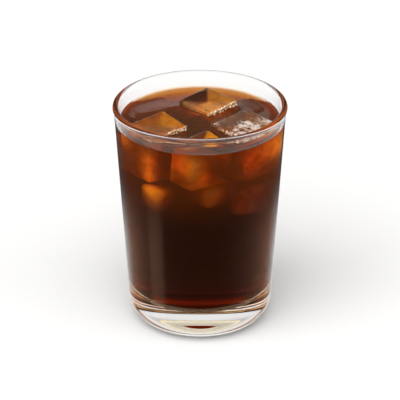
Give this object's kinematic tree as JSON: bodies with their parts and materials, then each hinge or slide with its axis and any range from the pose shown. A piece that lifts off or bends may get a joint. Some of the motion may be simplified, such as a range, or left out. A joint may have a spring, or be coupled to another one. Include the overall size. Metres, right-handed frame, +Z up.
{
  "type": "iced coffee",
  "caption": "Black iced coffee with ice cubes floating at its surface, in a clear straight-sided tumbler with a rolled rim and a thick solid base.",
  "frame": {"origin": "centre of the base, on the surface the glass stands on", "axes": "+Z up along the glass's axis; +X to the right and +Y to the back of the shown side"},
  "size_m": [0.084, 0.084, 0.113],
  "materials": {
    "glass": "smooth clear glass",
    "coffee": "dark clear liquid, near black in depth and amber where thin",
    "ice": "wet clear ice with cloudy cores and small bubbles"
  },
  "bodies": {
    "root": {"glass": "glass", "coffee": "coffee", "ice_back": "ice", "ice_left": "ice", "ice_right": "ice", "ice_front": "ice", "ice_rear_left": "ice", "ice_rear_right": "ice"}
  },
  "joints": []
}
